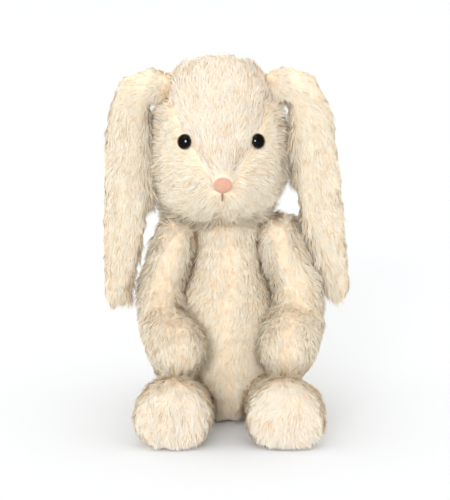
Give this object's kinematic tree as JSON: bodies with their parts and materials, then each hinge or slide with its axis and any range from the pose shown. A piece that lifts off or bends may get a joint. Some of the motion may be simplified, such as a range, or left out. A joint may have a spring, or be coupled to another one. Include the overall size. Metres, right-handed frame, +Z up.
{
  "type": "stuffed rabbit toy",
  "caption": "Seated cream plush rabbit with long hanging ears, soft arms and legs on seam hinges, bead eyes and a stitched pink nose.",
  "frame": {"origin": "on the floor, under the middle of the toy's bounding box", "axes": "+Z up, the rabbit faces -Y, and its left side is +X"},
  "size_m": [0.2008, 0.1886, 0.289],
  "materials": {
    "plush": "cream short pile plush",
    "pale_plush": "paler cream short pile plush",
    "filling": "white polyester fibre",
    "pouch": "plain woven cotton pouch of plastic pellets",
    "black_plastic": "glossy black",
    "white_plastic": "moulded white",
    "pink_thread": "satin embroidered pink",
    "brown_thread": "brown stitching thread",
    "ribbon": "blank woven ribbon"
  },
  "bodies": {
    "torso": {"body_front_left": "plush", "body_front_right": "plush", "body_back_left": "plush", "body_back_right": "plush", "seat_base": "plush", "body_stuffing": "filling", "seat_bean_pouch": "pouch", "tail_cover": "pale_plush", "tail_stuffing": "filling", "care_label": "ribbon"},
    "neck": {"neck_stuffing": "filling"},
    "head": {"head_gusset": "pale_plush", "head_side_left": "plush", "head_side_right": "plush", "head_back": "plush", "head_stuffing": "filling", "eye_left": "black_plastic", "eye_right": "black_plastic", "eye_washer_left": "white_plastic", "eye_washer_right": "white_plastic", "nose": "pink_thread", "mouth_stitch": "brown_thread"},
    "ear_left": {"ear_left_front": "plush", "ear_left_back": "plush"},
    "arm_left": {"arm_left_outer": "plush", "arm_left_inner": "plush", "arm_left_stuffing": "filling"},
    "leg_left": {"leg_left_outer": "plush", "leg_left_inner": "plush", "foot_left_sole": "pale_plush", "leg_left_stuffing": "filling"},
    "ear_right": {"ear_right_front": "plush", "ear_right_back": "plush"},
    "arm_right": {"arm_right_outer": "plush", "arm_right_inner": "plush", "arm_right_stuffing": "filling"},
    "leg_right": {"leg_right_outer": "plush", "leg_right_inner": "plush", "foot_right_sole": "pale_plush", "leg_right_stuffing": "filling"}
  },
  "joints": [
    {"name": "neck_turn", "type": "hinge", "parent": "torso", "child": "neck", "pos_m": [0.00001, 0.01938, 0.152], "axis": [0, 0, 1], "range_deg": [-5, 5], "stiffness_Nm_per_rad": 0.3},
    {"name": "neck_nod", "type": "hinge", "parent": "neck", "child": "head", "pos_m": [0.00001, 0.01938, 0.152], "axis": [1, 0, 0], "range_deg": [-8, 8], "stiffness_Nm_per_rad": 0.8},
    {"name": "ear_left_swing", "type": "hinge", "parent": "head", "child": "ear_left", "pos_m": [0.03707, 0.00995, 0.267], "axis": [0, -1, 0], "range_deg": [0, 45]},
    {"name": "ear_right_swing", "type": "hinge", "parent": "head", "child": "ear_right", "pos_m": [-0.05134, 0.00376, 0.267], "axis": [0, 1, 0], "range_deg": [0, 45]},
    {"name": "arm_left_swing", "type": "hinge", "parent": "torso", "child": "arm_left", "pos_m": [0.04047, 0.01938, 0.147], "axis": [-1, 0, 0], "range_deg": [0, 45]},
    {"name": "arm_right_swing", "type": "hinge", "parent": "torso", "child": "arm_right", "pos_m": [-0.04045, 0.01938, 0.147], "axis": [-1, 0, 0], "range_deg": [0, 45]},
    {"name": "leg_left_swing", "type": "hinge", "parent": "torso", "child": "leg_left", "pos_m": [0.03501, -0.01642, 0.0205], "axis": [-1, 0, 0], "range_deg": [-80, 0]},
    {"name": "leg_right_swing", "type": "hinge", "parent": "torso", "child": "leg_right", "pos_m": [-0.03499, -0.01642, 0.0205], "axis": [-1, 0, 0], "range_deg": [-80, 0]}
  ]
}
